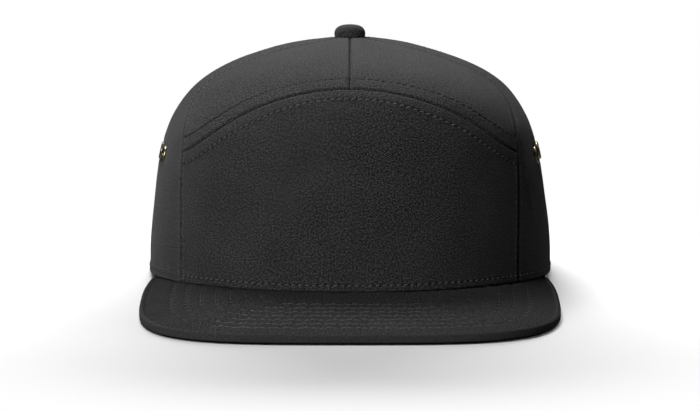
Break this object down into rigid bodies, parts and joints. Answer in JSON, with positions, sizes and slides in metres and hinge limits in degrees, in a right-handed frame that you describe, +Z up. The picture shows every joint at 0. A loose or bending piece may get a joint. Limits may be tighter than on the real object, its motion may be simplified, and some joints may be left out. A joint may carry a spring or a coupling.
{
  "type": "seven panel cap",
  "caption": "Black structured cap with a high crown, arched front seam, flat stitched peak, covered top button, metal eyelets and an arched back opening with a snap strap.",
  "frame": {"origin": "on the surface that the cap rests on, in the middle of its footprint", "axes": "-Y the way the peak points, +X the wearer's left, +Z up towards the button"},
  "size_m": [0.1794, 0.2655, 0.1107],
  "materials": {
    "crown_twill": "black cotton twill, fine diagonal weave",
    "peak_twill": "black cotton twill over a stiff board, sewn in rows",
    "sweatband_twill": "black twill band",
    "strap_plastic": "moulded, satin",
    "eyelet_metal": "antique, worn bright on the rolled edge"
  },
  "bodies": {
    "root": {"front_panel": "crown_twill", "top_panel_left": "crown_twill", "top_panel_right": "crown_twill", "side_panel_left": "crown_twill", "side_panel_right": "crown_twill", "back_panel_left": "crown_twill", "back_panel_right": "crown_twill", "top_button": "crown_twill", "peak": "peak_twill", "sweatband": "sweatband_twill", "snap_strap": "strap_plastic", "eyelet_left_front": "eyelet_metal", "eyelet_left_rear": "eyelet_metal", "eyelet_right_front": "eyelet_metal", "eyelet_right_rear": "eyelet_metal"}
  },
  "joints": []
}
